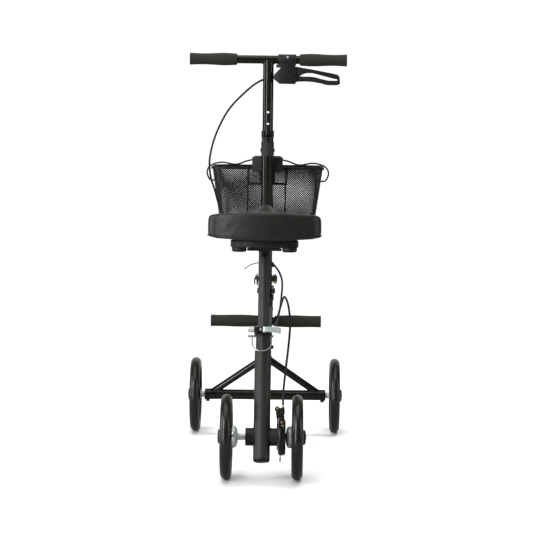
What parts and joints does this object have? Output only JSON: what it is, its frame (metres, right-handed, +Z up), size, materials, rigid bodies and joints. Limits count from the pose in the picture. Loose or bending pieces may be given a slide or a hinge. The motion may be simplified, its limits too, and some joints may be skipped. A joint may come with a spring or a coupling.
{
  "type": "knee scooter",
  "caption": "Knee scooter: wide saddle on a leaning seat tube, sloping beam, steered A-frame front end, folding column with T handlebar, loop brake lever and mesh basket.",
  "frame": {"origin": "on the ground under the middle of the rear axle", "axes": "+X to the rider's right, +Y forward, +Z up"},
  "size_m": [0.429, 0.9631, 1.0387],
  "materials": {
    "frame_paint": "satin black powder coat",
    "column_paint": "gloss black paint",
    "black_plastic": "moulded black plastic",
    "zinc": "bright zinc plate",
    "chrome_wire": "bright chrome",
    "black_steel": "black oxide steel",
    "brass": "yellow zinc and brass",
    "tyre_rubber": "solid black polyurethane",
    "foam": "matt foam",
    "vinyl": "smooth black vinyl",
    "cable": "cable outer",
    "mesh": "black coated steel mesh",
    "copper": "copper-coloured crimp"
  },
  "bodies": {
    "frame": {"main_frame": "frame_paint", "seat_tube_cap": "black_plastic", "seat_tube_bushing": "black_plastic", "headset_cups": "black_steel", "rear_axle": "zinc", "rear_axle_fittings": "zinc", "rear_wheel_bearings": "zinc", "brake_backing_plate": "black_steel", "brake_band": "black_steel", "brake_fittings": "brass", "brake_cable_lower": "cable", "seat_clamp_collar": "black_steel", "seat_clamp_skewer": "zinc"},
    "rear_left_wheel": {"rear_left_tyre": "tyre_rubber", "rear_left_rim": "black_plastic", "rear_left_hub_flange": "zinc"},
    "rear_right_wheel": {"rear_right_tyre": "tyre_rubber", "rear_right_rim": "black_plastic", "rear_right_hub_flange": "zinc", "brake_drum": "black_steel"},
    "brake_arm": {"brake_arm": "black_steel", "brake_pinch_bolts": "brass", "brake_cable_end": "copper"},
    "seat_clamp_lever": {"seat_clamp_lever": "zinc"},
    "lock_pin": {"seat_lock_pin": "chrome_wire"},
    "seat": {"seat_post": "frame_paint", "seat_post_bolt": "black_steel", "seat_rails": "black_steel", "seat_rail_clamp": "black_steel", "seat_base": "black_plastic", "seat_elastomers": "black_plastic", "seat_cushion": "vinyl"},
    "fork": {"fork_frame": "frame_paint", "fork_bolts": "black_steel", "front_axle_bolts": "zinc", "front_wheel_bearings": "zinc", "foot_peg_bar": "frame_paint", "foot_grips": "foam", "fold_bracket": "frame_paint"},
    "front_left_wheel": {"front_left_tyre": "tyre_rubber", "front_left_rim": "black_plastic"},
    "front_right_wheel": {"front_right_tyre": "tyre_rubber", "front_right_rim": "black_plastic"},
    "column": {"column_tube": "column_paint", "column_lip": "black_plastic", "column_band": "black_plastic", "column_bolts": "black_steel", "cable_tie": "black_plastic", "basket_bracket": "black_plastic"},
    "fold_latch": {"fold_latch": "black_steel"},
    "height_plunger": {"height_plunger": "black_plastic"},
    "handlebar": {"handlebar": "column_paint", "handlebar_grips": "foam", "lever_housing": "black_plastic", "lever_bolts": "zinc", "brake_cable_upper": "cable"},
    "brake_lever": {"brake_lever": "black_plastic"},
    "basket": {"basket_shell": "mesh", "basket_frame": "mesh"},
    "basket_handle": {"basket_handle": "mesh"}
  },
  "joints": [
    {"name": "rear_left_spin", "type": "hinge", "parent": "frame", "child": "rear_left_wheel", "pos_m": [-0.085, 0, 0.1016], "axis": [1, 0, 0], "continuous": true},
    {"name": "rear_right_spin", "type": "hinge", "parent": "frame", "child": "rear_right_wheel", "pos_m": [0.085, 0, 0.1016], "axis": [1, 0, 0], "continuous": true},
    {"name": "front_left_spin", "type": "hinge", "parent": "fork", "child": "front_left_wheel", "pos_m": [-0.1917, 0.65, 0.1016], "axis": [1, 0, 0], "continuous": true},
    {"name": "front_right_spin", "type": "hinge", "parent": "fork", "child": "front_right_wheel", "pos_m": [0.1917, 0.65, 0.1016], "axis": [1, 0, 0], "continuous": true},
    {"name": "steer", "type": "hinge", "parent": "frame", "child": "fork", "pos_m": [0, 0.65, 0.1016], "axis": [0, -0.1392, 0.9903], "range_deg": [-40, 40]},
    {"name": "column_fold", "type": "hinge", "parent": "fork", "child": "column", "pos_m": [0, 0.60883, 0.39452], "axis": [-1, 0, 0], "range_deg": [0, 90]},
    {"name": "latch_release", "type": "hinge", "parent": "column", "child": "fold_latch", "pos_m": [0, 0.60366, 0.43136], "axis": [1, 0, 0], "range_deg": [0, 20]},
    {"name": "height_lock", "type": "slide", "parent": "column", "child": "height_plunger", "axis": [0, -0.9903, -0.1392], "range_m": [0, 0.008]},
    {"name": "handlebar_height", "type": "slide", "parent": "column", "child": "handlebar", "axis": [0, -0.1392, 0.9903], "range_m": [-0.0313, 0.0939]},
    {"name": "brake_squeeze", "type": "hinge", "parent": "handlebar", "child": "brake_lever", "pos_m": [0.066, 0.52065, 0.986], "axis": [0, -1, 0], "range_deg": [0, 8]},
    {"name": "brake_arm_pull", "type": "hinge", "parent": "frame", "child": "brake_arm", "pos_m": [0.04675, -0.006, 0.15], "axis": [-1, 0, 0], "range_deg": [0, 12]},
    {"name": "basket_lift", "type": "slide", "parent": "column", "child": "basket", "axis": [0, 0, 1], "range_m": [0, 0.08]},
    {"name": "bail_swing", "type": "hinge", "parent": "basket", "child": "basket_handle", "pos_m": [0, 0.705, 0.693], "axis": [-1, 0, 0], "range_deg": [0, 85]},
    {"name": "seat_height", "type": "slide", "parent": "frame", "child": "seat", "axis": [0, 0.342, 0.9397], "range_m": [-0.11, 0.04]},
    {"name": "clamp_open", "type": "hinge", "parent": "frame", "child": "seat_clamp_lever", "pos_m": [0.004, 0.04946, 0.35379], "axis": [0, -0.342, -0.9397], "range_deg": [0, 90]},
    {"name": "wire_swing", "type": "hinge", "parent": "frame", "child": "lock_pin", "pos_m": [0, 0.07296, 0.33502], "axis": [-1, 0, 0], "range_deg": [0, 45]}
  ],
  "couplings": [
    {"joint": "brake_arm_pull", "follows": "brake_squeeze", "ratio": 1.5}
  ]
}
